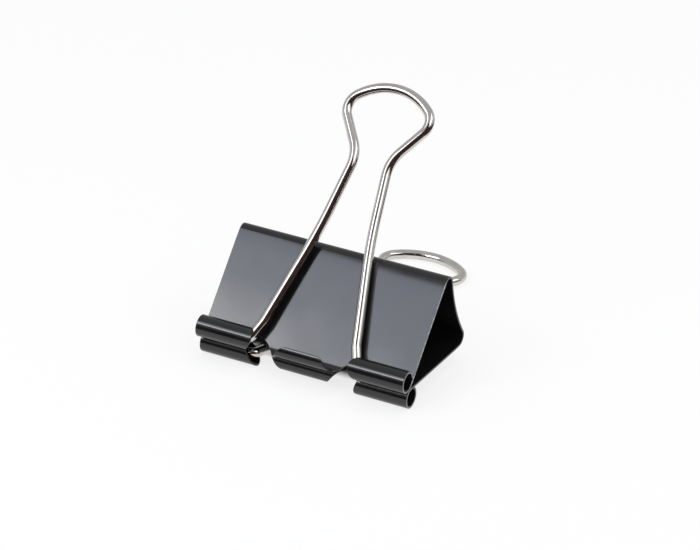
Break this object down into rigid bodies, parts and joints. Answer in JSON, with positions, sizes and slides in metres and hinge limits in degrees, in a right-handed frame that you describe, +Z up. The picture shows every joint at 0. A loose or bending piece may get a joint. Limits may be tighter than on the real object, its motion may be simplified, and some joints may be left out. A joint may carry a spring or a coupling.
{
  "type": "foldback clip",
  "caption": "Black spring-steel foldback clip: a wedge body with rolled lips and two hinged nickel wire handles that squeeze it open or fold flat.",
  "frame": {"origin": "bottom centre of the bounding box, on the table under the clip as it lies on its lower lips and lower handle", "axes": "+X along the jaws, +Y from the jaws towards the spine and handles' loops, +Z up from the table"},
  "size_m": [0.051, 0.0682, 0.0544],
  "materials": {
    "black_lacquer": "satin black lacquer on spring steel",
    "nickel_wire": "bright nickel plating on drawn steel wire"
  },
  "bodies": {
    "spine": {"spine_web": "black_lacquer", "upper_spring_bend": "black_lacquer", "lower_spring_bend": "black_lacquer"},
    "upper_jaw": {"upper_jaw": "black_lacquer"},
    "lower_jaw": {"lower_jaw": "black_lacquer"},
    "upper_handle": {"upper_handle": "nickel_wire"},
    "lower_handle": {"lower_handle": "nickel_wire"}
  },
  "joints": [
    {"name": "upper_jaw_flex", "type": "hinge", "parent": "spine", "child": "upper_jaw", "pos_m": [0, -0.01287, 0.02203], "axis": [-1, 0, 0], "range_deg": [0, 30], "stiffness_Nm_per_rad": 1.6, "deforming": ["upper_spring_bend"]},
    {"name": "lower_jaw_flex", "type": "hinge", "parent": "spine", "child": "lower_jaw", "pos_m": [0, -0.00593, 0.00571], "axis": [1, 0, 0], "range_deg": [0, 30], "stiffness_Nm_per_rad": 1.6, "deforming": ["lower_spring_bend"]},
    {"name": "upper_handle_swing", "type": "hinge", "parent": "upper_jaw", "child": "upper_handle", "pos_m": [0, -0.0316, 0.00719], "axis": [1, 0, 0], "range_deg": [0, 155]},
    {"name": "lower_handle_swing", "type": "hinge", "parent": "lower_jaw", "child": "lower_handle", "pos_m": [0, -0.02961, 0.0025], "axis": [-1, 0, 0], "range_deg": [0, 155]}
  ],
  "couplings": [
    {"joint": "lower_jaw_flex", "follows": "upper_jaw_flex", "ratio": 1}
  ]
}
